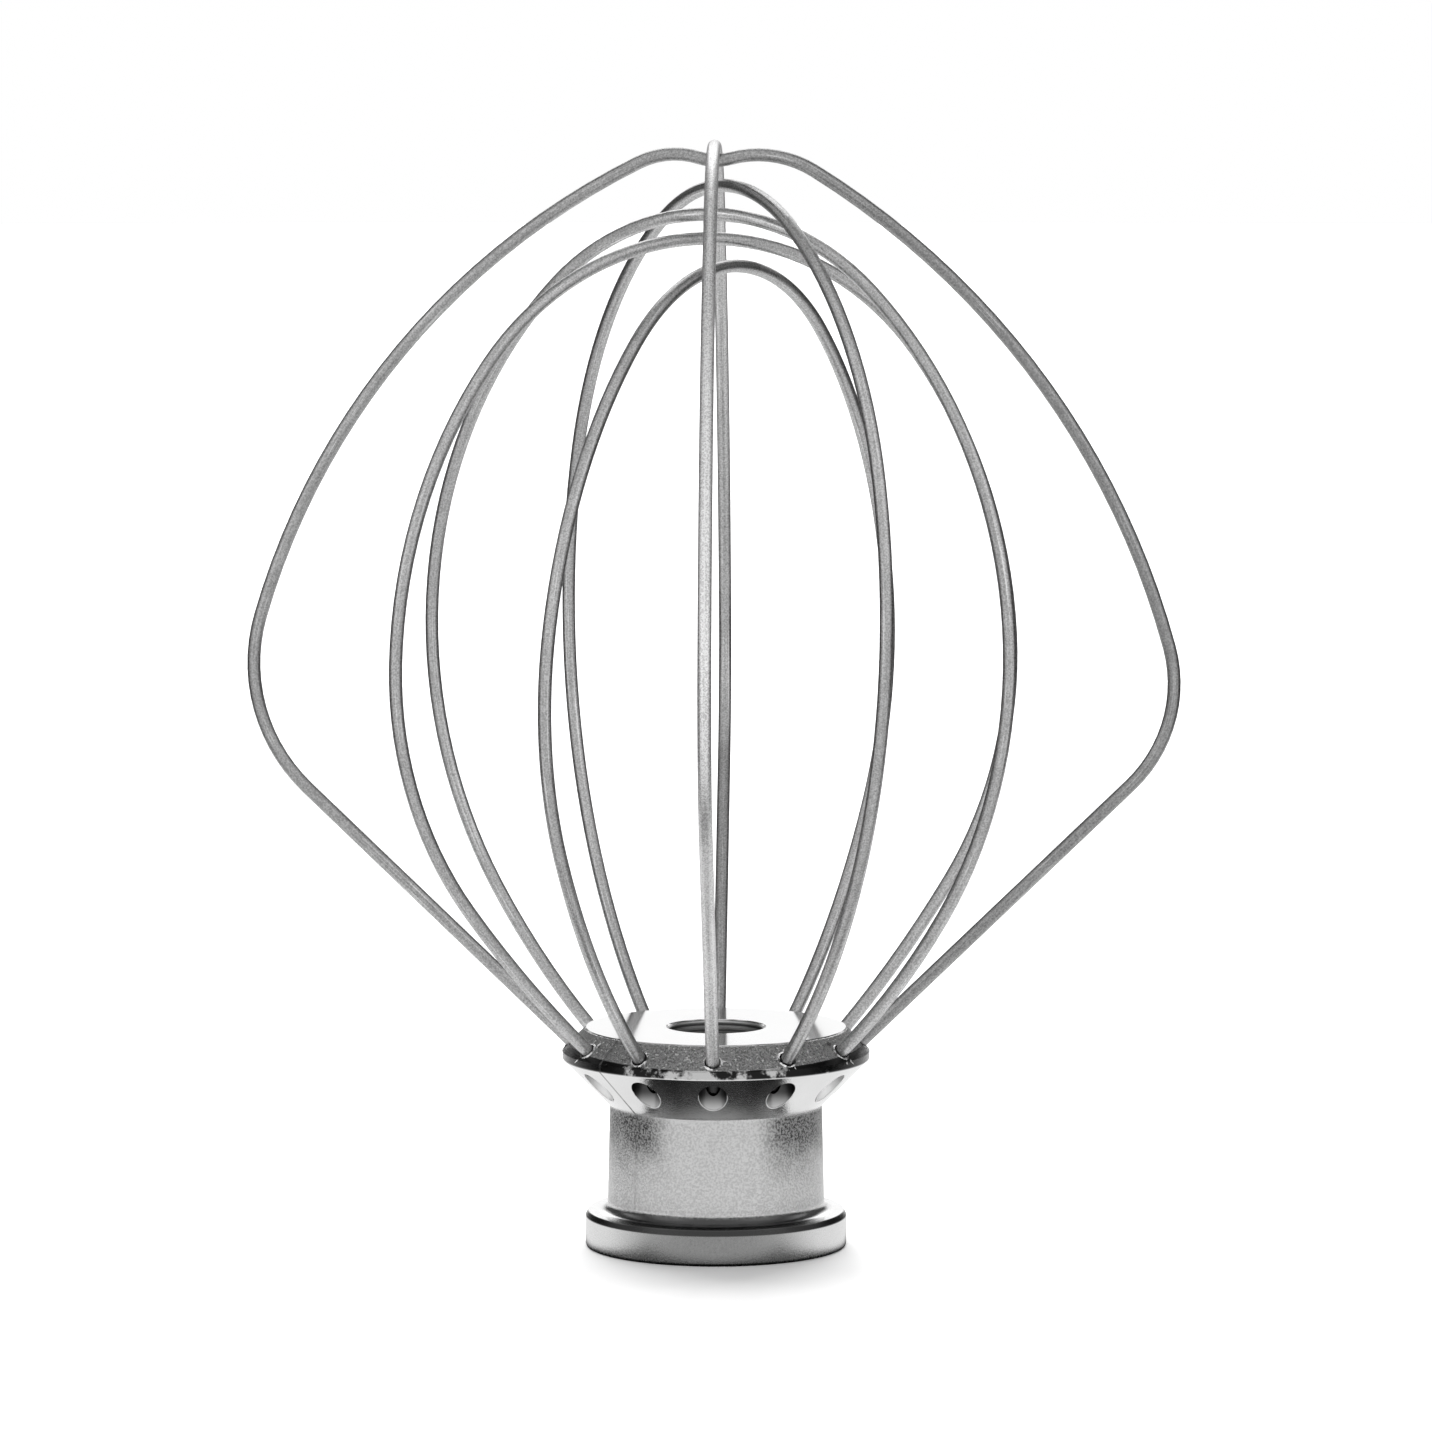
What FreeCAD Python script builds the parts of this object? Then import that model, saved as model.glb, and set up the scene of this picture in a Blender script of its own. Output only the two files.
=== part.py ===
import FreeCAD, Part
import math, os
import Sketcher

V = FreeCAD.Vector
doc = FreeCAD.newDocument("whip")

# ------------------------------------------------------------ driving dimensions, mm and degrees
sizes = {
    # hub, turned outline
    "flange_radius": 17.85, "flange_face": 4.2, "flange_lip": 0.35, "flange_top": 4.9,
    "neck_low": 14.85, "neck_high": 14.5, "neck_top": 19.4,
    "rim_radius": 21.0, "rim_low": 25.9, "rim_high": 26.9,
    "disc_radius": 17.75, "hub_height": 30.15,
    "neck_fillet": 1.2, "edge_round": 0.4, "rim_round": 0.45,
    # bore for the beater shaft and the bayonet slot for its drive pin
    "bore_radius": 6.45, "bore_chamfer": 0.4,
    "key_width": 5.2, "key_radius": 11.4, "slot_floor": 15.8, "slot_roof": 21.4,
    "slot_turn": 62.0, "seat_drop": 0.9,
    # sockets that hold the wires
    "wire_count": 6, "wire_radius": 0.9, "socket_gap": 0.25, "leg_angle": 46.0,
    "root_radius": 19.8, "root_height": 28.1, "socket_depth": 6.4, "tail": 5.8,
    "pit_centre": 18.1, "pit_radius": 1.95, "pit_roof": 25.3, "pit_floor": 17.5,
}
# Every wire: the angle of its plane round the hub, the tilt of that plane, the height of its
# crown, and the radii of its bends from the root up to the crown.
inner_wires = {
    "inner_wire_lowest": dict(turn=60, tilt=1.3, crown=134.0, half_width=45.0,
                              bends=[95.0, 52.0, 66.0, 35.5]),
    "inner_wire_low": dict(turn=30, tilt=-1.75, crown=137.6, half_width=47.75,
                           bends=[162.0, 52.6, 69.4, 42.0]),
    "inner_wire_high": dict(turn=150, tilt=-0.6, crown=141.0, bends=[106.0, 66.0, 36.5]),
    "inner_wire_highest": dict(turn=120, tilt=0.8, crown=144.8, bends=[82.0, 53.0, 34.5]),
}
# The two widest wires have straight legs. One dips at the crown to let the other pass over it,
# and its right half is bent a little differently from its left.
outer_wires = {
    "outer_wire_dipped": dict(turn=0, tilt=0.0, crown=149.05, half_width=62.95, dip=148.2,
                              bends=[23.5, 100.0, 11.0, 7.5],
                              right=dict(crown=148.95, half_width=62.25,
                                         bends=[19.1, 110.4, 14.4, 7.5])),
    "outer_wire_over": dict(turn=90, tilt=-0.1, crown=150.1, half_width=62.3,
                            bends=[23.5, 100.0, 37.8]),
}

wires = dict(inner_wires, **outer_wires)

sheet = doc.addObject("Spreadsheet::Sheet", "dims")
cells = dict(sizes)
for node, w in wires.items():
    for half, dimensions in ((node, w), (node + "_right", w.get("right", {}))):
        for key, value in dimensions.items():
            if key == "bends":
                cells.update({"%s_bend_%s" % (half, "abcd"[i]): r for i, r in enumerate(value)})
            elif key != "right":
                cells["%s_%s" % (half, key)] = value
for row, (alias, value) in enumerate(cells.items(), 1):
    sheet.set("A%d" % row, alias)
    sheet.set("B%d" % row, str(value))
    sheet.setAlias("B%d" % row, alias)
doc.recompute()


# ------------------------------------------------------------ helpers
def new_body(name):
    body = doc.addObject("PartDesign::Body", name)
    body.Label = name
    return body


def plane(body, role):
    return [f for f in body.Origin.OriginFeatures if f.Role == role][0]


def new_sketch(body, name, role):
    sk = body.newObject("Sketcher::SketchObject", name)
    sk.AttachmentSupport = [(plane(body, role), "")]
    sk.MapMode = "FlatFace"
    return sk


def drive(sk, kind, *args, by):
    """Add a dimension to the sketch and bind it to the sheet."""
    i = sk.addConstraint(Sketcher.Constraint(kind, *args))
    sk.setExpression("Constraints[%d]" % i, by)


def outline(sk, corners):
    """Closed polygon. A corner is (x, y, expression of x, expression of y); None means zero."""
    n = len(corners)
    for i in range(n):
        a, b = corners[i], corners[(i + 1) % n]
        sk.addGeometry(Part.LineSegment(V(a[0], a[1], 0), V(b[0], b[1], 0)), False)
    for i in range(n):
        sk.addConstraint(Sketcher.Constraint("Coincident", i, 2, (i + 1) % n, 1))
    for i, (x, y, by_x, by_y) in enumerate(corners):
        if by_x is None:
            sk.addConstraint(Sketcher.Constraint("PointOnObject", i, 1, -2))
        else:
            drive(sk, "DistanceX", -1, 1, i, 1, x, by=by_x)
        if by_y is None:
            sk.addConstraint(Sketcher.Constraint("PointOnObject", i, 1, -1))
        else:
            drive(sk, "DistanceY", -1, 1, i, 1, y, by=by_y)


def circle(sk, x, radius, by_x, by_radius):
    """Circle centred on the sketch's x axis."""
    g = sk.addGeometry(Part.Circle(V(x, 0, 0), V(0, 0, 1), radius), False)
    sk.addConstraint(Sketcher.Constraint("PointOnObject", g, 3, -1))
    if by_x is None:
        sk.addConstraint(Sketcher.Constraint("PointOnObject", g, 3, -2))
    else:
        drive(sk, "DistanceX", -1, 1, g, 3, x, by=by_x)
    drive(sk, "Radius", g, radius, by=by_radius)


def pocket(body, name, sk, length, by, up=False):
    cut = body.newObject("PartDesign::Pocket", name)
    cut.Profile = sk
    cut.Length = length
    cut.setExpression("Length", by)
    cut.Reversed = up
    doc.recompute()
    return cut


def ring_edges(feature, radius, height):
    """Names of the circular edges of this radius at this height."""
    return ["Edge%d" % i for i, e in enumerate(feature.Shape.Edges, 1)
            if hasattr(e.Curve, "Radius") and abs(e.Curve.Radius - radius) < 1e-3
            and abs(e.CenterOfMass.z - height) < 1e-3]


def dress(body, kind, name, rings, size, by):
    base = body.Tip
    f = body.newObject("PartDesign::" + kind, name)
    f.Base = (base, [e for r, z in rings for e in ring_edges(base, r, z)])
    prop = "Radius" if kind == "Fillet" else "Size"
    setattr(f, prop, size)
    f.setExpression(prop, by)
    doc.recompute()


# ------------------------------------------------------------ hub
d = sizes
hub = new_body("hub")
sk = new_sketch(hub, "hub_outline", "XZ_Plane")
outline(sk, [
    (0, 0, None, None),
    (d["flange_radius"], 0, "dims.flange_radius", None),
    (d["flange_radius"], d["flange_face"], "dims.flange_radius", "dims.flange_face"),
    (d["flange_radius"] - d["flange_lip"], d["flange_top"],
     "dims.flange_radius - dims.flange_lip", "dims.flange_top"),
    (d["neck_low"], d["flange_top"], "dims.neck_low", "dims.flange_top"),
    (d["neck_high"], d["neck_top"], "dims.neck_high", "dims.neck_top"),
    (d["rim_radius"], d["rim_low"], "dims.rim_radius", "dims.rim_low"),
    (d["rim_radius"], d["rim_high"], "dims.rim_radius", "dims.rim_high"),
    (d["disc_radius"], d["hub_height"], "dims.disc_radius", "dims.hub_height"),
    (0, d["hub_height"], None, "dims.hub_height"),
])
turned = hub.newObject("PartDesign::Revolution", "hub_turned")
turned.Profile = sk
turned.ReferenceAxis = (sk, ["V_Axis"])
turned.Angle = 360
doc.recompute()

dress(hub, "Fillet", "neck_fillet", [(d["neck_low"], d["flange_top"])], d["neck_fillet"],
      "dims.neck_fillet")
dress(hub, "Fillet", "rim_round", [(d["rim_radius"], d["rim_low"])], d["rim_round"],
      "dims.rim_round")
dress(hub, "Fillet", "foot_round", [(d["flange_radius"], 0)], d["edge_round"], "dims.edge_round")

sk = new_sketch(hub, "bore_circle", "XY_Plane")
circle(sk, 0, d["bore_radius"], None, "dims.bore_radius")
pocket(hub, "bore", sk, d["hub_height"], "dims.hub_height", up=True)
dress(hub, "Chamfer", "bore_chamfer", [(d["bore_radius"], 0), (d["bore_radius"], d["hub_height"])],
      d["bore_chamfer"], "dims.bore_chamfer")

# The drive pin enters through a straight keyway at the foot, at the back of the hub.
half = d["key_width"] / 2
sk = new_sketch(hub, "keyway_outline", "XY_Plane")
outline(sk, [
    (-half, 0, "-dims.key_width / 2", None),
    (half, 0, "dims.key_width / 2", None),
    (half, d["key_radius"], "dims.key_width / 2", "dims.key_radius"),
    (-half, d["key_radius"], "-dims.key_width / 2", "dims.key_radius"),
])
pocket(hub, "keyway", sk, d["slot_roof"], "dims.slot_roof", up=True)


def sector(name, start, end, by_start, by_end, floor, by_floor, by_length):
    """Cut a ring sector round the bore, from a floor up to the slot's roof."""
    s = new_sketch(hub, name + "_outline", "XY_Plane")
    s.AttachmentOffset = FreeCAD.Placement(V(0, 0, floor), FreeCAD.Rotation())
    s.setExpression("AttachmentOffset.Base.z", by_floor)
    a, b, r = math.radians(start), math.radians(end), d["key_radius"]
    s.addGeometry(Part.LineSegment(V(0, 0, 0), V(r * math.cos(a), r * math.sin(a), 0)), False)
    s.addGeometry(Part.ArcOfCircle(Part.Circle(V(0, 0, 0), V(0, 0, 1), r), a, b), False)
    s.addGeometry(Part.LineSegment(V(r * math.cos(b), r * math.sin(b), 0), V(0, 0, 0)), False)
    for i, j in ((0, 1), (1, 2), (2, 0)):
        s.addConstraint(Sketcher.Constraint("Coincident", i, 2, j, 1))
    s.addConstraint(Sketcher.Constraint("Coincident", 0, 1, -1, 1))
    s.addConstraint(Sketcher.Constraint("Coincident", 1, 3, -1, 1))
    drive(s, "Radius", 1, r, by="dims.key_radius")
    drive(s, "Angle", -1, 1, 0, 1, a, by=by_start)
    drive(s, "Angle", -1, 1, 2, 2, b, by=by_end)
    pocket(hub, name, s, d["slot_roof"] - floor, by_length, up=True)


# Turned upwards it runs sideways, and drops into a shallow seat at the end of the turn.
sector("turn_slot", 90, 90 + d["slot_turn"], "90 deg", "90 deg + dims.slot_turn * 1 deg",
       d["slot_floor"], "dims.slot_floor", "dims.slot_roof - dims.slot_floor")
seat = math.degrees(2 * math.asin(half / d["key_radius"]))
by_seat = "2 * asin(dims.key_width / 2 / dims.key_radius)"
sector("pin_seat", 90 + d["slot_turn"] - seat, 90 + d["slot_turn"],
       "90 deg + dims.slot_turn * 1 deg - " + by_seat, "90 deg + dims.slot_turn * 1 deg",
       d["slot_floor"] - d["seat_drop"], "dims.slot_floor - dims.seat_drop",
       "dims.slot_roof - dims.slot_floor + dims.seat_drop")

# One slanting wire socket through the upper cone, and the pit under the rim that it opens into.
clear = 3.0
lean = math.radians(d["leg_angle"])
sk = new_sketch(hub, "socket_circle", "XY_Plane")
sk.AttachmentOffset = FreeCAD.Placement(
    V(d["root_radius"] + clear * math.sin(lean), 0, d["root_height"] + clear * math.cos(lean)),
    FreeCAD.Rotation(V(0, 1, 0), d["leg_angle"]))
sk.setExpression("AttachmentOffset.Base.x",
                 "dims.root_radius + %g * sin(dims.leg_angle)" % clear)
sk.setExpression("AttachmentOffset.Base.z",
                 "dims.root_height + %g * cos(dims.leg_angle)" % clear)
sk.setExpression("AttachmentOffset.Rotation.Angle", "dims.leg_angle * 1 deg")
circle(sk, 0, d["wire_radius"] + d["socket_gap"], None, "dims.wire_radius + dims.socket_gap")
socket = pocket(hub, "wire_socket", sk, d["socket_depth"] + clear,
                "dims.socket_depth + %g" % clear)

sk = new_sketch(hub, "pit_circle", "XY_Plane")
sk.AttachmentOffset = FreeCAD.Placement(V(0, 0, d["pit_roof"]), FreeCAD.Rotation())
sk.setExpression("AttachmentOffset.Base.z", "dims.pit_roof")
circle(sk, d["pit_centre"], d["pit_radius"], "dims.pit_centre", "dims.pit_radius")
pit = pocket(hub, "wire_pit", sk, d["pit_roof"] - d["pit_floor"],
             "dims.pit_roof - dims.pit_floor")

ring = hub.newObject("PartDesign::PolarPattern", "wire_sockets")
ring.Originals = [socket, pit]
ring.Axis = (plane(hub, "Z_Axis"), [""])
ring.Angle = 360
hub.Tip = ring
ring.Occurrences = 2 * d["wire_count"]
ring.setExpression("Occurrences", "2 * dims.wire_count")
doc.recompute()


# ------------------------------------------------------------ wire loops
def meet(a, ra, b, rb):
    """The two points at distance ra from a and rb from b, the one with the smaller x first."""
    gap = b - a
    along = (ra ** 2 - rb ** 2 + gap.Length ** 2) / (2 * gap.Length)
    off = math.sqrt(ra ** 2 - along ** 2)
    u = gap / gap.Length
    side = V(-u.y, u.x, 0)
    return sorted([a + u * along + side * off, a + u * along - side * off], key=lambda p: p.x)


def touch(big, radius, small):
    """Where the circle round big, of this radius, touches the smaller circle inside it."""
    gap = small - big
    return big + gap * (radius / gap.Length)


def arc(centre, radius, start, end):
    a, b = [math.atan2(p.y - centre.y, p.x - centre.x) for p in (start, end)]
    return Part.ArcOfCircle(Part.Circle(centre, V(0, 0, 1), radius), a, b)


def half_loop(w, straight_leg):
    """Centre line of half a wire, from its hidden end in the socket to the middle of the crown."""
    out = V(math.sin(lean), math.cos(lean), 0)
    inward = V(-math.cos(lean), math.sin(lean), 0)
    root = V(d["root_radius"], d["root_height"], 0)
    end = root - out * d["tail"]
    r = w["bends"]
    if straight_leg:
        # leg, shoulder, flank and crown
        belly_x = w["half_width"] - r[0]
        belly = V(belly_x, root.y + (r[0] + (belly_x - root.x) * math.cos(lean)) / math.sin(lean), 0)
        if "dip" in w:
            valley = V(0, w["dip"] + r[3], 0)
            rise = valley.y - (w["crown"] - r[2])
            crown = V(math.sqrt((r[2] + r[3]) ** 2 - rise ** 2), w["crown"] - r[2], 0)
        else:
            crown = V(0, w["crown"] - r[2], 0)
        flank = meet(belly, r[1] - r[0], crown, r[1] - r[2])[0]
        leg = belly - inward * r[0]
        a, b = touch(flank, r[1], belly), touch(flank, r[1], crown)
        path = [Part.LineSegment(end, leg), arc(belly, r[0], leg, a), arc(flank, r[1], a, b)]
        if "dip" in w:
            c = crown + (valley - crown) * (r[2] / (r[2] + r[3]))
            path += [arc(crown, r[2], b, c), arc(valley, r[3], V(0, w["dip"], 0), c)]
        else:
            path += [arc(crown, r[2], b, V(0, w["crown"], 0))]
        return path
    # short straight tail, then a leg that starts to bend at the hub
    leg = root + inward * r[0]
    crown = V(0, w["crown"] - r[-1], 0)
    path = [Part.LineSegment(end, root)]
    if "half_width" in w:
        belly_x = w["half_width"] - r[1]
        belly = V(belly_x, leg.y - math.sqrt((r[0] - r[1]) ** 2 - (belly_x - leg.x) ** 2), 0)
        flank = meet(belly, r[2] - r[1], crown, r[2] - r[3])[0]
        a, b, c = touch(leg, r[0], belly), touch(flank, r[2], belly), touch(flank, r[2], crown)
        path += [arc(leg, r[0], root, a), arc(belly, r[1], a, b), arc(flank, r[2], b, c)]
    else:
        flank = meet(leg, r[0] - r[1], crown, r[1] - r[2])[1]
        a, c = touch(leg, r[0], flank), touch(flank, r[1], crown)
        path += [arc(leg, r[0], root, a), arc(flank, r[1], a, c)]
    return path + [arc(crown, r[-1], c, V(0, w["crown"], 0))]


def draw_half(body, node, w, half):
    """Sketch of half a wire's centre line. half is the stem of the names of its own cells."""
    tilt = w["tilt"]
    path = half_loop(w, node in outer_wires)
    spine = new_sketch(body, half + "_path", "XZ_Plane")
    if tilt:
        turn = FreeCAD.Rotation(V(1, 0, 0), tilt)
        pivot = V(0, d["root_height"], 0)
        spine.AttachmentOffset = FreeCAD.Placement(pivot - turn.multVec(pivot), turn)
        spine.setExpression("AttachmentOffset.Rotation.Angle", "dims.%s_tilt * 1 deg" % node)
        spine.setExpression("AttachmentOffset.Base.y",
                            "dims.root_height * (1 - cos(dims.%s_tilt))" % node)
        spine.setExpression("AttachmentOffset.Base.z",
                            "-dims.root_height * sin(dims.%s_tilt)" % node)
    for piece in path:
        spine.addGeometry(piece, False)
    last = len(path) - 1
    dipped = "dip" in w
    for i in range(last):
        far = 2 if dipped and i + 1 == last else 1
        spine.addConstraint(Sketcher.Constraint("Tangent", i, 2, i + 1, far))
    tip = path[0].StartPoint
    drive(spine, "DistanceX", -1, 1, 0, 1, tip.x,
          by="dims.root_radius - dims.tail * sin(dims.leg_angle)")
    drive(spine, "DistanceY", -1, 1, 0, 1, tip.y,
          by="dims.root_height - dims.tail * cos(dims.leg_angle)")
    drive(spine, "Angle", 0, math.pi / 2 - lean, by="90 deg - dims.leg_angle * 1 deg")
    for i, radius in enumerate(w["bends"], 1):
        drive(spine, "Radius", i, radius, by="dims.%s_bend_%s" % (half, "abcd"[i - 1]))
    spine.addConstraint(Sketcher.Constraint("PointOnObject", last, 3, -2))
    spine.addConstraint(Sketcher.Constraint("PointOnObject", last, 1 if dipped else 2, -2))
    curved_leg = node in inner_wires
    if curved_leg:
        drive(spine, "Distance", 0, 1, 0, 2, d["tail"], by="dims.tail")
    if "half_width" in w:
        side = 2 if curved_leg else 1
        drive(spine, "DistanceX", -1, 1, side, 3, w["half_width"] - w["bends"][side - 1],
              by="dims.%s_half_width - dims.%s_bend_%s" % (half, half, "abcd"[side - 1]))
    if dipped:
        drive(spine, "DistanceY", -1, 1, last, 1, w["dip"], by="dims.%s_dip" % node)
        drive(spine, "DistanceY", -1, 1, 3, 3, w["crown"] - w["bends"][2],
              by="dims.%s_crown - dims.%s_bend_c" % (half, half))
    else:
        drive(spine, "DistanceY", -1, 1, last, 2, w["crown"], by="dims.%s_crown" % node)
    doc.recompute()
    return spine


def sweep(body, name, section, spine):
    pipe = body.newObject("PartDesign::AdditivePipe", name)
    pipe.Profile = section
    pipe.Spine = (spine, ["Edge%d" % i for i in range(1, spine.GeometryCount + 1)])
    doc.recompute()
    return pipe


def build_wire(node, w):
    body = new_body(node)
    tilt = w["tilt"]
    spine = draw_half(body, node, w, node)

    # round section at the middle of the crown, swept down one side and then down the other
    top = "dip" if "dip" in w else "crown"
    rise = w[top] - d["root_height"]
    section = new_sketch(body, node + "_section", "YZ_Plane")
    angle = math.radians(tilt)
    g = section.addGeometry(Part.Circle(
        V(-rise * math.sin(angle), d["root_height"] + rise * math.cos(angle), 0),
        V(0, 0, 1), d["wire_radius"]), False)
    by_rise = "(dims.%s_%s - dims.root_height)" % (node, top)
    if tilt:
        drive(section, "DistanceX", -1, 1, g, 3, -rise * math.sin(angle),
              by="-%s * sin(dims.%s_tilt)" % (by_rise, node))
    else:
        section.addConstraint(Sketcher.Constraint("PointOnObject", g, 3, -2))
    drive(section, "DistanceY", -1, 1, g, 3, d["root_height"] + rise * math.cos(angle),
          by="dims.root_height + %s * cos(dims.%s_tilt)" % (by_rise, node))
    drive(section, "Radius", g, d["wire_radius"], by="dims.wire_radius")
    if "right" in w:
        spine.AttachmentOffset = FreeCAD.Placement(V(0, 0, 0), FreeCAD.Rotation(V(0, 1, 0), 180))
        sweep(body, node + "_left_half", section, spine)
        spine = draw_half(body, node, dict(w, **w["right"]), node + "_right")
        body.Tip = sweep(body, node + "_right_half", section, spine)
    else:
        mirror = body.newObject("PartDesign::Mirrored", node + "_loop")
        mirror.Originals = [sweep(body, node + "_half", section, spine)]
        mirror.MirrorPlane = (plane(body, "YZ_Plane"), [""])
        body.Tip = mirror
    body.Placement = FreeCAD.Placement(V(0, 0, 0), FreeCAD.Rotation(V(0, 0, 1), w["turn"]))
    if w["turn"]:
        body.setExpression("Placement.Rotation.Angle", "dims.%s_turn * 1 deg" % node)
    doc.recompute()
    return body


nodes = [hub] + [build_wire(node, w) for node, w in wires.items()]

# ------------------------------------------------------------ checks and export
doc.recompute()
for obj in doc.Objects:
    if "Invalid" in obj.State or "Error" in obj.State:
        raise RuntimeError("%s is not valid: %s" % (obj.Name, obj.State))
os.makedirs("parts", exist_ok=True)
for body in nodes:
    shape = body.Shape
    if shape.isNull() or not shape.isValid() or len(shape.Solids) != 1:
        raise RuntimeError("%s has no single valid solid" % body.Label)
    box = shape.optimalBoundingBox()
    print("%-20s %9.1f mm3  x %.2f..%.2f  y %.2f..%.2f  z %.2f..%.2f" % (
        body.Label, shape.Volume, box.XMin, box.XMax, box.YMin, box.YMax, box.ZMin, box.ZMax))
    shape.exportStep("parts/%s.step" % body.Label)
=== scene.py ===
import math
import random

import bpy
import numpy as np
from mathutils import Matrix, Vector


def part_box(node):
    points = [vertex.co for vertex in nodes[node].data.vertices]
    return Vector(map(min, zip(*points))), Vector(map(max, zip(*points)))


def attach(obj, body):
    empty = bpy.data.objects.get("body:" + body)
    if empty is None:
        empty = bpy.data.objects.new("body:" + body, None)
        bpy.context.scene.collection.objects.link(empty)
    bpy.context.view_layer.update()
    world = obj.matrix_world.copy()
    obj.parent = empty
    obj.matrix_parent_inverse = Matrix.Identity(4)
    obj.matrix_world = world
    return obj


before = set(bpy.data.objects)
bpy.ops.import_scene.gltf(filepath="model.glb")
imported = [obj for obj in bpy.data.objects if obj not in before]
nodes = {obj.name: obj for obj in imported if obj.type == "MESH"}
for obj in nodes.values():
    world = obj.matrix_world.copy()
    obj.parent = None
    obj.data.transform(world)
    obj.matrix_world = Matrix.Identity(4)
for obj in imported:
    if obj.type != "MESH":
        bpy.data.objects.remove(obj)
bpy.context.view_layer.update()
scene = bpy.context.scene
hub = nodes["hub"]
wires = {name: obj for name, obj in nodes.items() if name != "hub"}

# ------------------------------------------------------------ sizes, metres
MM = 0.001
HUB_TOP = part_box("hub")[1].z
RIM_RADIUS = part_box("hub")[1].x
FLANGE_FACE = 4.2 * MM      # top of the flange's upright face
FLANGE_TOP = 4.9 * MM
LIP_RADIUS = 17.5 * MM      # inner edge of the bevel round the flange
NECK_LOW = 6.2 * MM         # where the fillet at the flange ends
NECK_TOP = 19.4 * MM
RIM_LOW = 25.9 * MM
RIM_HIGH = 26.9 * MM
DISC_RADIUS = 17.75 * MM
NECK_RADIUS_LOW = 14.85 * MM
NECK_RADIUS_HIGH = 14.5 * MM
KEY_RADIUS = 11.4 * MM      # how far the pin's keyway reaches from the axis
WIRE_RADIUS = 0.9 * MM
SOCKET_RADIUS = 1.15 * MM
SOCKET_LEAN = math.radians(46)
ROOT_RADIUS = 19.8 * MM     # where a wire leaves the shoulder
ROOT_HEIGHT = 28.1 * MM
PIT_CENTRE = 18.1 * MM      # the pits under the sockets, where the ends of the wires show
PIT_RADIUS = 1.95 * MM
PIT_PAINTED_SHADE = 23.4 * MM        # a front or back pit is painted dark, as shade, above this height
PIT_PAINTED_LIGHT = 20.8 * MM       # and painted light below this one
SOCKETS = 12
PARTING_TURN = math.radians(43)     # where the two halves of the mould met
TABLE_RADIUS = 240 * MM
TABLE_BACK = 200 * MM       # how far behind the part the middle of the table is
SHADE_HALF = 19.5 * MM      # the table's painted shadow: half its width,
SHADE_FRONT = -22 * MM      # its front edge
SHADE_BACK = 25 * MM        # and its back edge


# ------------------------------------------------------------ shader helpers
class Graph:
    """A node tree, with short calls for what the surfaces here share."""

    def __init__(self, tree):
        self.tree = tree

    def add(self, kind, **settings):
        node = self.tree.nodes.new(kind)
        for key, value in settings.items():
            setattr(node, key, value)
        return node

    def put(self, value, socket):
        """Link a socket, or set a constant."""
        if isinstance(value, bpy.types.NodeSocket):
            self.tree.links.new(value, socket)
        else:
            socket.default_value = value

    def math(self, operation, a, b=0.0, clamp=False):
        node = self.add("ShaderNodeMath", operation=operation, use_clamp=clamp)
        self.put(a, node.inputs[0])
        self.put(b, node.inputs[1])
        return node.outputs[0]

    def dot(self, vector, direction):
        node = self.add("ShaderNodeVectorMath", operation="DOT_PRODUCT")
        self.put(vector, node.inputs[0])
        self.put(tuple(direction), node.inputs[1])
        return node.outputs["Value"]

    def length(self, vector):
        node = self.add("ShaderNodeVectorMath", operation="LENGTH")
        self.put(vector, node.inputs[0])
        return node.outputs["Value"]

    def split(self, vector):
        node = self.add("ShaderNodeSeparateXYZ")
        self.put(vector, node.inputs[0])
        return node.outputs

    def join(self, x, y, z):
        node = self.add("ShaderNodeCombineXYZ")
        for value, socket in zip((x, y, z), node.inputs):
            self.put(value, socket)
        return node.outputs[0]

    def noise(self, place, scale, detail=3.0, rough=0.55):
        node = self.add("ShaderNodeTexNoise")
        self.put(place, node.inputs["Vector"])
        node.inputs["Scale"].default_value = scale
        node.inputs["Detail"].default_value = detail
        node.inputs["Roughness"].default_value = rough
        return node.outputs["Fac"]

    def rise(self, value, low, high):
        """0 at low, 1 at high, smooth between."""
        node = self.add("ShaderNodeMapRange", interpolation_type="SMOOTHSTEP")
        self.put(value, node.inputs["Value"])
        node.inputs["From Min"].default_value = low
        node.inputs["From Max"].default_value = high
        return node.outputs["Result"]

    def window(self, value, low, high, soft):
        """1 between low and high, 0 outside, with soft edges."""
        up = self.rise(value, low - soft, low + soft)
        down = self.rise(value, high + soft, high - soft)
        return self.math("MULTIPLY", up, down)

    def mix(self, factor, a, b):
        node = self.add("ShaderNodeMix", data_type="FLOAT")
        for value, socket in zip((factor, a, b), (node.inputs[0], node.inputs[2], node.inputs[3])):
            self.put(value, socket)
        return node.outputs[0]

    def ramp(self, factor, dark, light):
        """A grey between two levels."""
        node = self.add("ShaderNodeMix", data_type="RGBA")
        for value, socket in zip((factor, grey(dark), grey(light)),
                                 (node.inputs[0], node.inputs[6], node.inputs[7])):
            self.put(value, socket)
        return node.outputs[2]

    def multiply(self, *values):
        result = values[0]
        for value in values[1:]:
            result = self.math("MULTIPLY", result, value)
        return result

    def total(self, *values):
        result = values[0]
        for value in values[1:]:
            result = self.math("ADD", result, value)
        return result


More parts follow.
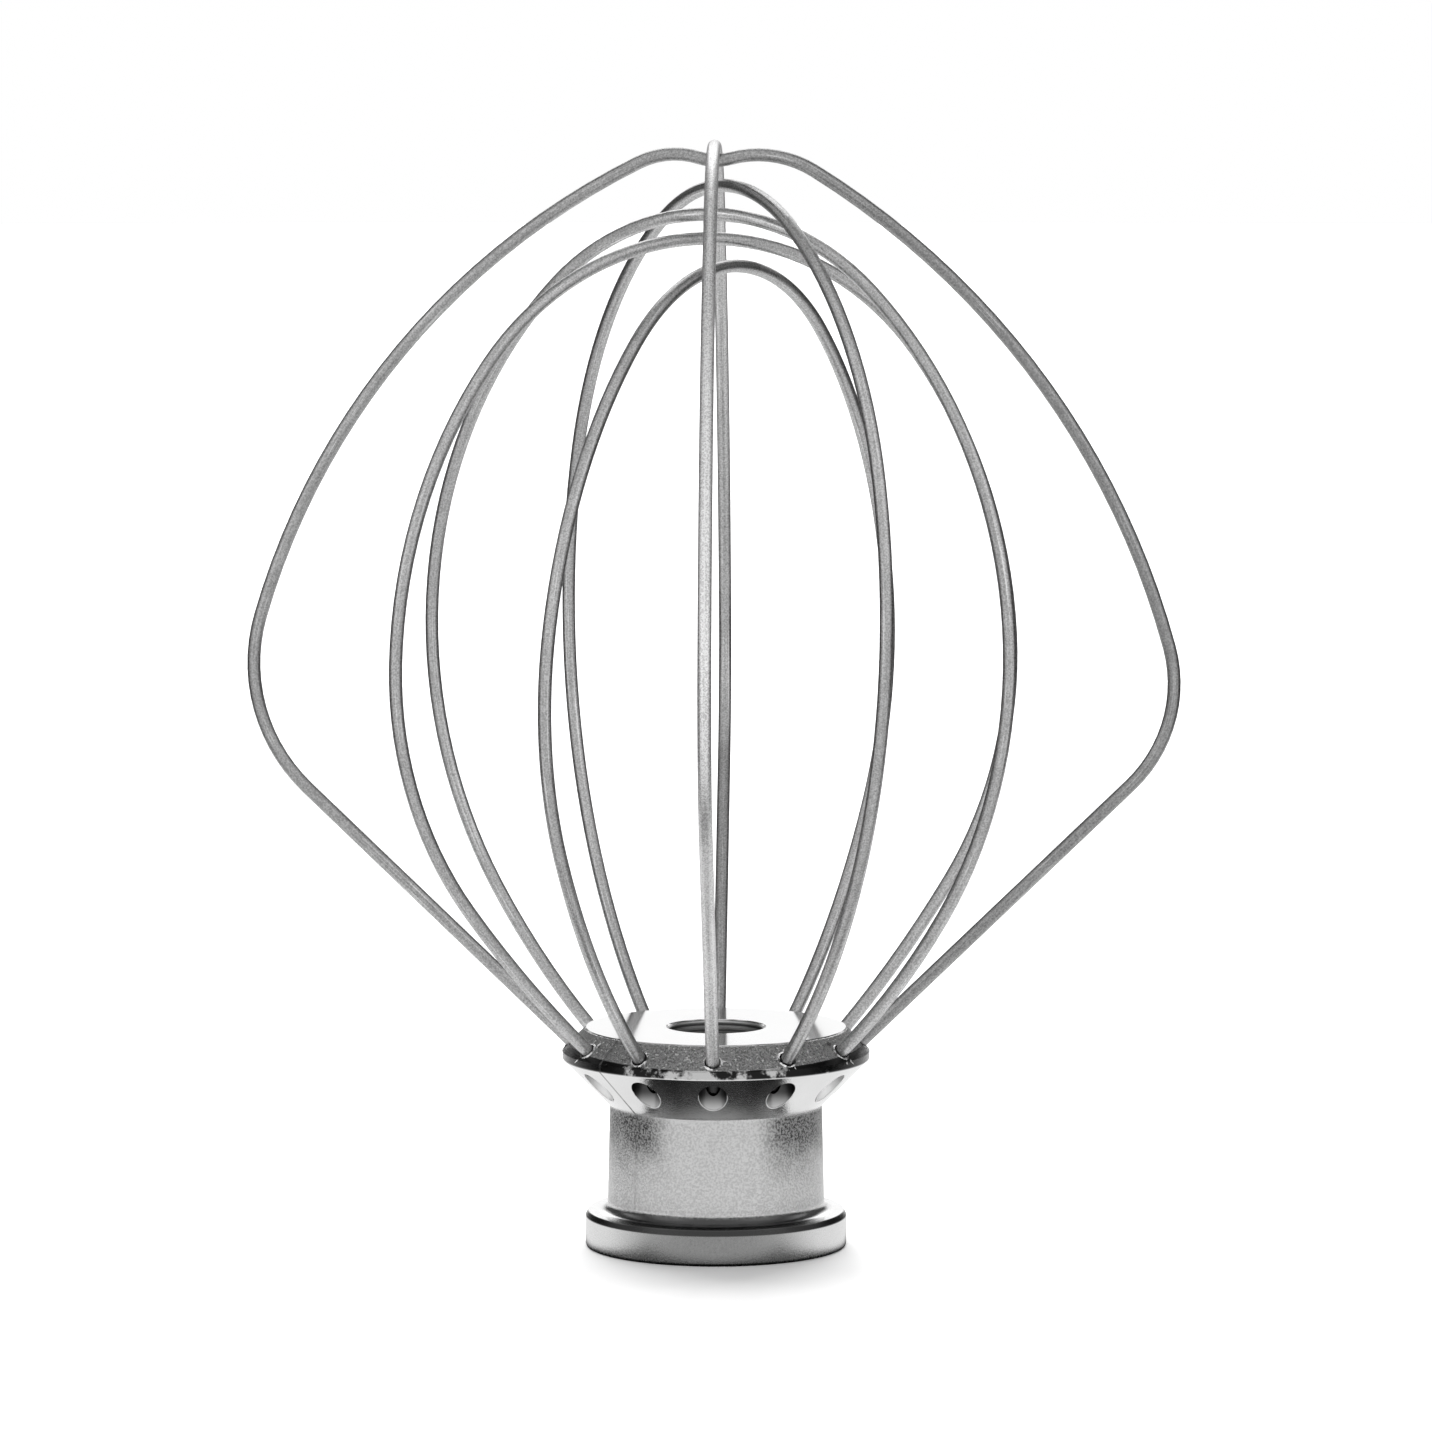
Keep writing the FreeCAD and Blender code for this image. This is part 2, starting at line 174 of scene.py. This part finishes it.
class Surface(Graph):
    """A metal's material: its node tree, its shader and object coordinates."""

    def __init__(self, name):
        self.material = bpy.data.materials.new(name)
        self.material.use_nodes = True
        super().__init__(self.material.node_tree)
        self.shader = self.tree.nodes["Principled BSDF"]
        self.place = self.add("ShaderNodeTexCoord").outputs["Object"]

    def bump(self, height, depth):
        """Relief: height from 0 to 1 stands depth metres proud."""
        node = self.add("ShaderNodeBump")
        self.put(height, node.inputs["Height"])
        node.inputs["Distance"].default_value = depth
        self.put(node.outputs["Normal"], self.shader.inputs["Normal"])

    def metal(self, colour, rough):
        self.put(colour, self.shader.inputs["Base Color"])
        self.put(rough, self.shader.inputs["Roughness"])
        self.shader.inputs["Metallic"].default_value = 1.0
        return self.material


def grey(value):
    return (value, value, value, 1.0)


# ------------------------------------------------------------ materials
def cast_aluminium():
    """Die-cast hub: granular neck and shoulder, smoother cone, burnished top and rim."""
    g = Surface("cast_aluminium")
    x, y, z = g.split(g.place)
    radius = g.math("SQRT", g.total(g.multiply(x, x), g.multiply(y, y)))
    outside = g.rise(radius, KEY_RADIUS, KEY_RADIUS + MM)
    soft = 0.12 * MM
    disc = g.rise(z, HUB_TOP - 0.22 * MM, HUB_TOP - 0.08 * MM)
    shoulder = g.multiply(g.window(z, RIM_HIGH, HUB_TOP - 0.15 * MM, soft), outside)
    # How far round a point lies towards the ±x sides; the painted light and shade on the hub below is laid
    # out by it.
    toward_x = g.math("DIVIDE", g.multiply(x, x), g.total(g.multiply(x, x), g.multiply(y, y), 1e-9))
    rim_top = g.math("SUBTRACT", z, g.multiply(toward_x, 0.8 * MM))
    rim = g.multiply(g.rise(z, RIM_LOW - soft, RIM_LOW + soft),
                     g.rise(rim_top, RIM_HIGH + 0.25 * MM, RIM_HIGH + 0.1 * MM), outside)
    neck = g.multiply(g.window(z, NECK_LOW, NECK_TOP, 0.5 * MM), outside)
    fillet = g.window(z, FLANGE_FACE, NECK_LOW, soft)
    lip = g.multiply(g.window(z, FLANGE_FACE - 0.1 * MM, FLANGE_TOP - 0.1 * MM, 0.08 * MM),
                     g.rise(radius, LIP_RADIUS - 0.3 * MM, LIP_RADIUS))
    # Painted shade along the rounded foot, where it meets the floor.
    foot_painted_shade = g.rise(z, 0.34 * MM, 0.12 * MM)
    bore = g.multiply(g.math("SUBTRACT", 1.0, outside), g.math("SUBTRACT", 1.0, disc))
    sector = g.multiply(g.math("ARCTAN2", y, x), SOCKETS / (2 * math.pi))
    angle = g.multiply(g.math("SUBTRACT", sector, g.math("ROUND", sector)), 2 * math.pi / SOCKETS)
    from_pit = g.length(g.join(g.math("SUBTRACT", g.multiply(radius, g.math("COSINE", angle)), PIT_CENTRE),
                               g.multiply(radius, g.math("SINE", angle)), 0.0))
    pit = g.multiply(g.rise(from_pit, PIT_RADIUS + 0.06 * MM, PIT_RADIUS + 0.02 * MM),
                     g.window(z, NECK_TOP - 2 * MM, RIM_LOW - 0.15 * MM, soft))
    side_pit_painted_bright = g.rise(toward_x, 0.4, 0.75)

    grain = g.noise(g.place, 4300, 2, 0.6)
    pits = g.rise(g.noise(g.place, 3400, 3, 0.65), 0.40, 0.62)
    fleck = g.rise(g.noise(g.place, 3100, 2, 0.5), 0.60, 0.68)
    mottle = g.noise(g.place, 190, 4, 0.6)
    turning = g.noise(g.join(g.multiply(radius, 6000), g.multiply(z, 3000), 0.0), 1.0, 2, 0.7)
    # Painted reflection on the rim: patches of light, fewer towards ±x, where the rim is painted near
    # black.
    patch = g.rise(g.math("SUBTRACT", g.noise(g.place, 330, 4, 0.7), g.multiply(toward_x, 0.4)),
                   0.40, 0.54)
    seam = g.math("ABSOLUTE", g.dot(g.place, (-math.sin(PARTING_TURN), math.cos(PARTING_TURN), 0)))
    seam = g.multiply(g.rise(seam, 0.24 * MM, 0.12 * MM), outside,
                      g.mix(g.rise(z, NECK_TOP - 2 * MM, NECK_TOP), 0.25, 1.0),
                      g.rise(z, FLANGE_TOP, NECK_LOW), g.math("SUBTRACT", 1.0, disc))
    # Painted reflection: dark mottled patches high on the neck towards ±x, where the neck would mirror the
    # shaded underside of the cone.
    neck_painted_reflection = g.multiply(neck, g.rise(toward_x, 0.10, 0.42),
                       g.rise(g.total(z, g.multiply(mottle, 9 * MM)), 14 * MM, 22 * MM))

    rough = g.mix(neck, g.mix(mottle, 0.08, 0.13), g.mix(grain, 0.28, 0.44))
    rough = g.mix(shoulder, rough, g.mix(grain, 0.28, 0.50))
    rough = g.mix(g.math("MAXIMUM", rim, fillet), rough, 0.16)
    rough = g.mix(g.rise(z, FLANGE_TOP, FLANGE_FACE), rough, g.mix(grain, 0.22, 0.34))
    rough = g.mix(bore, rough, 0.3)
    rough = g.mix(pit, rough, g.mix(side_pit_painted_bright, 0.34, 0.6))
    rough = g.mix(disc, rough, g.mix(mottle, 0.08, 0.14))

    tone = g.mix(mottle, 0.62, 0.74)
    tone = g.mix(neck, tone, 0.70)
    # Painted light and shade in the pits: a front or back pit is painted dark high up and light low down,
    # and a pit towards ±x is painted near white.
    tone = g.mix(pit, tone, g.mix(side_pit_painted_bright, g.mix(g.rise(z, PIT_PAINTED_SHADE, PIT_PAINTED_LIGHT), 0.08, 0.62), 0.95))
    # Painted reflection: the fillet at the foot of the neck is near black in the middle and lighter
    # towards ±x.
    tone = g.mix(fillet, tone, g.mix(g.rise(toward_x, 0.35, 0.9), 0.08, 0.6))
    tone = g.mix(shoulder, tone, g.mix(pits, 0.36, 0.17))
    tone = g.mix(g.multiply(shoulder, fleck), tone, 0.75)
    tone = g.mix(g.multiply(neck, pits), tone, 0.54)
    # Painted reflection: the dark patches high on the neck.
    tone = g.mix(g.multiply(neck_painted_reflection, g.mix(pits, 0.5, 1.0)), tone, 0.05)
    # Painted reflection: the rim's band is near black with light patches.
    tone = g.mix(rim, tone, g.mix(patch, 0.02, 0.62))
    # Painted reflection: the flange's upright face is darker in the middle and lighter towards ±x.
    tone = g.mix(g.rise(z, FLANGE_FACE, FLANGE_FACE - 0.1 * MM), tone,
                 g.mix(g.rise(toward_x, 0.0, 0.7), g.mix(grain, 0.16, 0.36), 0.68))
    # Painted shade: a near-black line round the foot, and a near-black painted reflection on the bevel
    # round the flange.
    tone = g.mix(g.math("MAXIMUM", lip, foot_painted_shade), tone, 0.06)
    tone = g.mix(bore, tone, g.mix(g.rise(turning, 0.35, 0.65), 0.2, 0.85))
    tone = g.mix(g.multiply(seam, 0.65), tone, 0.12)
    tone = g.mix(disc, tone, 0.80)

    relief = g.mix(neck, 0.12, 1.0)
    relief = g.mix(shoulder, relief, 1.5)
    relief = g.mix(g.math("MAXIMUM", rim, fillet), relief, 0.25)
    relief = g.mix(disc, relief, 0.0)
    ridges = g.multiply(g.mix(bore, g.multiply(disc, 0.02), 0.5), turning)
    g.bump(g.total(g.multiply(relief, g.mix(0.5, grain, pits)), ridges), 0.05 * MM)
    return g.metal(g.ramp(tone, 0.0, 1.0), rough)


def drawn_steel(name, wire, side=(0, 0, 0), gains=(1.0, 1.0), matt=0.0):
    """Drawn wire: fine lengthwise lines round the section of a loop that lies in one plane.
    gains paint light and shade onto the loop's two halves by brightening and dulling them, the
    second being the one towards side, and matt roughens that second half."""
    lines_around, lines_along = 5.0, 60.0
    g = Surface(name)
    points = np.array([v.co for v in wire.data.vertices])
    centre = points.mean(0)
    normal = np.linalg.svd(points - centre, full_matrices=False)[2][2]
    level = np.cross(normal, (0, 0, 1))
    level = level / np.linalg.norm(level)
    off_plane = g.math("SUBTRACT", g.dot(g.place, normal), float(centre @ normal))
    around = g.math("ARCSINE", g.math("DIVIDE", off_plane, WIRE_RADIUS * 1.02))
    height = g.split(g.place)[2]
    along = (g.multiply(g.dot(g.place, level), lines_along), g.multiply(height, lines_along))
    lines = g.noise(g.join(g.multiply(around, lines_around), *along), 1.0, 3, 0.7)
    grain = g.noise(g.place, 4200, 2, 0.6)
    worn = g.noise(g.place, 240, 3, 0.6)
    half = g.rise(g.dot(g.place, side), 0.0, 20 * MM)
    rough = g.total(g.mix(grain, 0.20, 0.36), g.multiply(lines, 0.06), g.multiply(half, matt))
    g.bump(g.total(g.multiply(grain, 0.8), lines), 0.035 * MM)
    streak = g.rise(g.mix(0.5, lines, grain), 0.36, 0.64)
    tone = g.total(g.mix(streak, 0.38, 0.58), g.mix(worn, -0.04, 0.08))
    tone = g.mix(g.rise(lines, 0.60, 0.66), tone, 0.85)
    # Painted light and shade: the loop's two halves are brightened or dulled by the gains.
    tone = g.multiply(tone, g.mix(half, *gains), g.mix(g.rise(grain, 0.42, 0.58), 0.89, 1.09))
    # Painted shade: the wire's end, down in its pit below the rim, is dark.
    tone = g.mix(g.rise(height, RIM_LOW, RIM_LOW - MM), tone, 0.14)
    g.shader.inputs["Specular Tint"].default_value = grey(0.85)
    return g.metal(g.ramp(tone, 0.0, 1.0), rough)


def torn_aluminium():
    """Fresh metal laid bare where the sockets were drilled and the wires staked."""
    g = Surface("torn_aluminium")
    tone = g.mix(g.rise(g.noise(g.place, 1100, 3, 0.6), 0.44, 0.56), 0.10, 0.97)
    tone = g.mix(g.rise(g.split(g.place)[2], RIM_LOW, RIM_LOW - MM), tone, 0.9)
    return g.metal(g.ramp(tone, 0.0, 1.0), 0.45)


def paint(obj, material):
    if not obj.data.materials:
        obj.data.materials.append(material)
    for entry in obj.material_slots:
        entry.material = material


aluminium = cast_aluminium()
torn = torn_aluminium()
paint(hub, aluminium)
# Painted light and shade on two outer wires: the front half of the wire over the hub is painted brighter,
# and both halves of the dipped wire duller.
painted_halves = {"outer_wire_over": dict(side=(0, -1, 0), gains=(1.0, 1.7), matt=0.12),
              "outer_wire_dipped": dict(side=(1, 0, 0), gains=(0.84, 0.66))}
for name, wire in wires.items():
    paint(wire, drawn_steel("wire_steel_" + name, wire, **painted_halves.get(name, {})))


# ------------------------------------------------------------ small shapes left by casting and staking
def add_piece(name, points, faces, material):
    mesh = bpy.data.meshes.new(name)
    mesh.from_pydata(points, [], faces)
    mesh.shade_smooth()
    mesh.set_sharp_from_angle(angle=math.radians(50))
    mesh.update()
    obj = bpy.data.objects.new(name, mesh)
    scene.collection.objects.link(obj)
    paint(obj, material)
    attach(obj, "root")


def tube_faces(rings, sides, closed):
    """Faces of a tube of equal rings: joined end to end, or capped at both ends."""
    faces = []
    for i in range(rings if closed else rings - 1):
        a, b = i * sides, (i + 1) % rings * sides
        faces += [(a + j, a + (j + 1) % sides, b + (j + 1) % sides, b + j) for j in range(sides)]
    if not closed:
        faces += [tuple(reversed(range(sides))), tuple(range((rings - 1) * sides, rings * sides))]
    return faces


def parting_line(name, turn):
    """A low, uneven ridge down the hub where the two halves of the mould met."""
    rng = random.Random(3)
    rim_in = RIM_RADIUS - 0.1 * MM
    outline = [(DISC_RADIUS + 0.1 * MM, HUB_TOP - 0.1 * MM), (rim_in, RIM_HIGH + 0.1 * MM),
               (rim_in, RIM_LOW + 0.3 * MM), (NECK_RADIUS_HIGH, NECK_TOP),
               (NECK_RADIUS_LOW, NECK_LOW)]
    outward = Vector((math.cos(turn), math.sin(turn), 0))
    across = Vector((-math.sin(turn), math.cos(turn), 0))
    points, rings = [], 0
    for (r0, z0), (r1, z1) in zip(outline, outline[1:]):
        run = math.hypot(r1 - r0, z1 - z0)
        normal = outward * ((z0 - z1) / run) + Vector((0, 0, (r1 - r0) / run))
        steps = max(1, round(run / (0.5 * MM)))
        for i in range(steps):
            t = i / steps
            base = outward * (r0 + (r1 - r0) * t) + Vector((0, 0, z0 + (z1 - z0) * t))
            base += across * rng.uniform(-0.03, 0.03) * MM
            proud = rng.uniform(0.05, 0.13) * MM
            half = rng.uniform(0.10, 0.17) * MM
            points += [base - across * half - normal * 0.06 * MM, base - normal * 0.12 * MM,
                       base + across * half - normal * 0.06 * MM, base + normal * proud]
            rings += 1
    add_piece(name, points, tube_faces(rings, 4, closed=False), aluminium)


def socket_lip(name, turn, rng):
    """The torn lip that the drill and the staked wire leave round a socket's mouth."""
    steps = 40
    outward = Vector((math.cos(turn), math.sin(turn), 0))
    axis = outward * math.sin(SOCKET_LEAN) + Vector((0, 0, math.cos(SOCKET_LEAN)))
    side = Vector((-math.sin(turn), math.cos(turn), 0))
    slope = axis.cross(side)
    root = outward * ROOT_RADIUS + Vector((0, 0, ROOT_HEIGHT))
    waves = [(k, rng.uniform(0, 2 * math.pi), rng.uniform(0.3, 1.0) / k) for k in (1, 2, 3, 5, 8)]
    points = []
    for i in range(steps):
        t = 2 * math.pi * i / steps
        swell = sum(a * math.sin(k * t + p) for k, p, a in waves)
        jag = rng.uniform(0, 1) ** 3
        high = (0.05 + 0.05 * max(0.0, swell) + 0.12 * jag) * MM
        wide = (0.12 + 0.05 * swell + 0.08 * jag) * MM
        ray = side * math.cos(t) + slope * math.sin(t)
        points += [root + ray * (SOCKET_RADIUS + 0.03 * MM) - axis * 0.2 * MM,
                   root + ray * (SOCKET_RADIUS - (0.04 + 0.05 * jag) * MM) + axis * high,
                   root + ray * (SOCKET_RADIUS + max(wide, 0.05 * MM)) + axis * high * 0.5,
                   root + ray * (SOCKET_RADIUS + max(wide, 0.05 * MM) + 0.12 * MM) - axis * 0.1 * MM]
    add_piece(name, points, tube_faces(steps, 4, closed=True), torn)


def flakes(name, turn, rng):
    """Slivers of metal smeared over the shoulder beside a socket."""
    outward = Vector((math.cos(turn), math.sin(turn), 0))
    normal = (outward + Vector((0, 0, 1))).normalized()
    side = Vector((-math.sin(turn), math.cos(turn), 0))
    slope = normal.cross(side)
    root = outward * ROOT_RADIUS + Vector((0, 0, ROOT_HEIGHT))
    points, faces = [], []
    for _ in range(rng.randint(4, 6)):
        t = rng.uniform(0, 2 * math.pi)
        start = root + (side * math.cos(t) + slope * math.sin(t)) * rng.uniform(1.25, 1.6) * MM
        lie = t + rng.uniform(-0.7, 0.7)
        along = side * math.cos(lie) + slope * math.sin(lie)
        beside = normal.cross(along)
        long, wide = rng.uniform(0.5, 1.3) * MM, rng.uniform(0.07, 0.15) * MM
        n = len(points)
        points += [start - normal * 0.05 * MM,
                   start + along * long * 0.4 + beside * wide - normal * 0.05 * MM,
                   start + along * long,
                   start + along * long * 0.4 - beside * wide - normal * 0.05 * MM,
                   start + along * long * 0.35 + normal * rng.uniform(0.08, 0.16) * MM]
        faces += [(n, n + 3, n + 2, n + 1), (n, n + 1, n + 4), (n + 1, n + 2, n + 4),
                  (n + 2, n + 3, n + 4), (n + 3, n, n + 4)]
    add_piece(name, points, faces, torn)


def pit_edge(name, turn):
    """The bright burr along the lower edge of a pit, where it breaks out of the cone."""
    steps, sides = 36, 6
    outward = Vector((math.cos(turn), math.sin(turn), 0))
    side = Vector((-math.sin(turn), math.cos(turn), 0))
    up = Vector((0, 0, 1))
    points = []
    for i in range(steps + 1):
        t = math.radians(80 + 200 * i / steps)
        ray = outward * math.cos(t) + side * math.sin(t)
        centre = outward * PIT_CENTRE + ray * PIT_RADIUS
        centre += up * (NECK_TOP + centre.length - NECK_RADIUS_HIGH)
        thick = 0.1 * MM * (0.15 + 0.85 * math.sin(math.pi * i / steps) ** 0.5)
        points += [centre + (ray * math.cos(a) + up * math.sin(a)) * thick
                   for a in (2 * math.pi * j / sides for j in range(sides))]
    add_piece(name, points, tube_faces(steps + 1, sides, closed=False), torn)


parting_line("parting_line_back", PARTING_TURN)
parting_line("parting_line_front", PARTING_TURN + math.pi)
chance = random.Random(11)
for i in range(SOCKETS):
    socket_turn = 2 * math.pi * i / SOCKETS
    socket_lip("socket_lip_%02d" % (i + 1), socket_turn, chance)
    flakes("socket_flakes_%02d" % (i + 1), socket_turn, chance)
    pit_edge("pit_edge_%02d" % (i + 1), socket_turn)


# ------------------------------------------------------------ floor, light and camera
def disc_mesh(name, radius, corners=64):
    mesh = bpy.data.meshes.new(name)
    turns = [2 * math.pi * i / corners for i in range(corners)]
    ring = [(radius * math.cos(t), radius * math.sin(t), 0) for t in turns]
    mesh.from_pydata(ring, [], [tuple(range(corners))])
    obj = bpy.data.objects.new(name, mesh)
    scene.collection.objects.link(obj)
    return obj


def white_card(name, radius):
    obj = disc_mesh(name, radius)
    g = Surface(name)
    g.shader.inputs["Base Color"].default_value = grey(0.9)
    g.shader.inputs["Roughness"].default_value = 0.8
    g.shader.inputs["Specular IOR Level"].default_value = 0.2
    obj.data.materials.append(g.material)
    return obj


def studio_room(world):
    """Light by direction, the same to the left and right. The camera sees plain white."""
    world.use_nodes = True
    g = Graph(world.node_tree)
    x, y, z = g.split(g.add("ShaderNodeTexCoord").outputs["Generated"])
    degree = 180 / math.pi
    turn = g.multiply(g.math("ABSOLUTE", g.math("ARCTAN2", x, g.multiply(y, -1.0))), degree)
    height = g.multiply(g.math("ARCSINE", z), degree)
    # Each patch of light has its range and soft edge in turn from the front and in height, in
    # degrees, and its strength.
    patches = (
        ((166, 200, 5), (-95, 14, 6), 0.98),    # wall and table straight behind
        ((155, 200, 8), (14, 62, 6), 2.0),      # bright wall higher up behind
        ((-20, 80, 10), (-60, 76, 6), 0.74),    # the room in front
        ((84, 114, 6), (12, 66, 6), 0.5),       # soft box at each side
        ((30, 70, 5), (10, 34, 5), 0.5),        # low strip at each side of the camera
        ((120, 166, 8), (-95, -17, 7), 1.2),    # table behind, to each side
    )
    light = 0.07
    for turn_span, height_span, strength in patches:
        patch = g.multiply(g.window(turn, *turn_span), g.window(height, *height_span), strength)
        light = g.total(light, patch)
    ceiling = g.multiply(g.window(height, 78, 100, 8), 0.65)
    light = g.total(light, ceiling)
    seen = g.add("ShaderNodeLightPath").outputs["Is Camera Ray"]
    background = g.tree.nodes["Background"]
    background.inputs["Color"].default_value = grey(1.0)
    g.put(g.mix(seen, light, 1.0), background.inputs["Strength"])


def table_card():
    """A glowing card for what the metal sees of the table: white, with a painted shadow just before,
    under and just behind the part."""
    obj = disc_mesh("table", TABLE_RADIUS)
    obj.location.y = TABLE_BACK
    g = Surface("table")
    x, y, _ = g.split(g.place)
    shade = g.multiply(g.window(x, -SHADE_HALF, SHADE_HALF, 1.5 * MM),
                       g.window(y, SHADE_FRONT - TABLE_BACK, SHADE_BACK - TABLE_BACK, 3 * MM))
    g.shader.inputs["Base Color"].default_value = grey(0.0)
    g.shader.inputs["Specular IOR Level"].default_value = 0.0
    g.shader.inputs["Emission Color"].default_value = grey(1.0)
    g.put(g.mix(shade, 1.05, 0.02), g.shader.inputs["Emission Strength"])
    obj.data.materials.append(g.material)
    return obj


def studio():
    floor = white_card("floor", 4.0)
    floor.visible_glossy = False
    table = table_card()
    table.visible_camera = False
    table.visible_diffuse = False
    table.visible_shadow = False
    world = bpy.data.worlds.new("studio")
    scene.world = world
    studio_room(world)

    light = bpy.data.lights.new("soft_top", "SUN")
    light.angle = math.radians(60)
    light.energy = 4.4
    lamp = bpy.data.objects.new("soft_top", light)
    lamp.rotation_euler = Vector((0.1, -0.8, -1)).to_track_quat("-Z", "Y").to_euler()
    lamp.visible_glossy = False
    scene.collection.objects.link(lamp)


def camera():
    distance, elevation, pitch, turn = 0.99, 6.034, 0.159, 1.3
    aim_height = 0.07
    data = bpy.data.cameras.new("camera")
    data.lens = 182.83
    data.sensor_width = 36
    data.clip_end = 20
    cam = bpy.data.objects.new("camera", data)
    e, t = math.radians(elevation), math.radians(turn)
    cam.location = (distance * math.cos(e) * math.sin(t), -distance * math.cos(e) * math.cos(t),
                    aim_height + distance * math.sin(e))
    cam.rotation_euler = (math.radians(90 - elevation + pitch), 0, t)
    scene.collection.objects.link(cam)
    scene.camera = cam


studio()
camera()
scene.view_settings.view_transform = "Standard"
